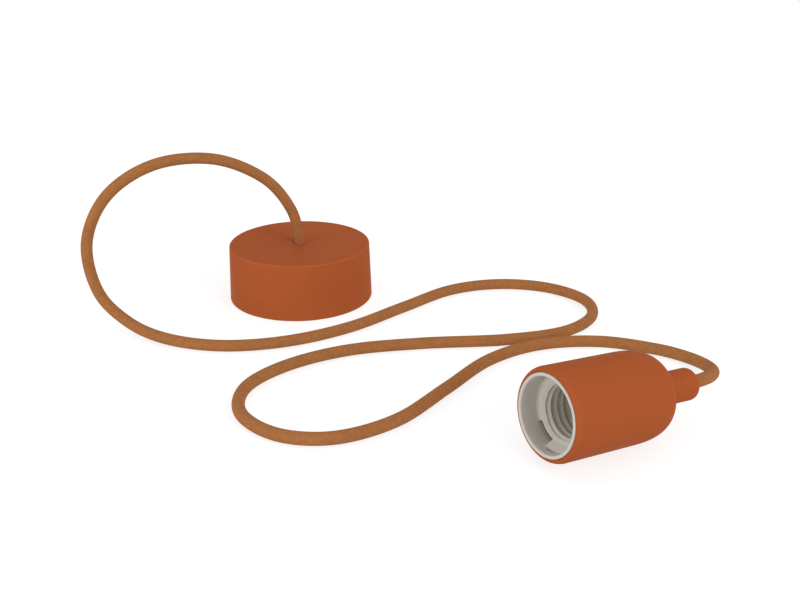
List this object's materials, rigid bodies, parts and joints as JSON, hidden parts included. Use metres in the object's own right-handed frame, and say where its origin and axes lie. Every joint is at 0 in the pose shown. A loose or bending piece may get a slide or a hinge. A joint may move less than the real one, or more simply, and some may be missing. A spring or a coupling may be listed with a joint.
{
  "type": "pendant cord set",
  "caption": "Ready-wired pendant cord set: round silicone ceiling rose, fabric-braided two-core cord and an E27 lamp holder in a silicone sleeve, laid out in loose curves.",
  "frame": {"origin": "middle of the ceiling rose's back face, which goes against the ceiling and on which the rose stands here", "axes": "+Z out of the rose towards its cord outlet, +X the way the lamp holder points from its mouth to its neck, seen from above, +Y away from the holder"},
  "size_m": [0.2784, 0.3113, 0.099],
  "materials": {
    "silicone": "matt moulded silicone rubber, burnt orange",
    "textile_braid": "fine woven textile braid, burnt orange",
    "liner_plastic": "smooth moulded grey-white thermoplastic",
    "white_nylon": "moulded white nylon",
    "clear_polyamide": "moulded natural polyamide",
    "zinc_steel": "zinc plated steel",
    "brass": "plain brass",
    "brown_core": "brown core insulation",
    "blue_core": "blue core insulation"
  },
  "bodies": {
    "root": {"rose_cover": "silicone", "rose_base_plate": "white_nylon", "hanger_strap": "zinc_steel", "strap_screw_1": "zinc_steel", "strap_screw_2": "zinc_steel", "grip_nipple": "clear_polyamide", "grip_nut": "zinc_steel", "grip_screw": "clear_polyamide", "terminal_block": "clear_polyamide", "block_tube_live": "brass", "block_tube_neutral": "brass", "block_screw": "zinc_steel", "block_clamp_screw_1": "zinc_steel", "block_clamp_screw_2": "zinc_steel", "block_clamp_screw_3": "zinc_steel", "block_clamp_screw_4": "zinc_steel", "rose_core_brown": "brown_core", "rose_core_blue": "blue_core", "holder_sleeve": "silicone", "holder_skirt": "liner_plastic", "holder_dome": "liner_plastic", "hub_screw": "zinc_steel", "contact_insert": "liner_plastic", "centre_contact": "brass", "side_contact": "brass", "centre_terminal": "brass", "side_terminal": "brass", "centre_screw": "zinc_steel", "side_screw": "zinc_steel", "holder_core_brown": "brown_core", "holder_core_blue": "blue_core", "cord": "textile_braid"}
  },
  "joints": []
}
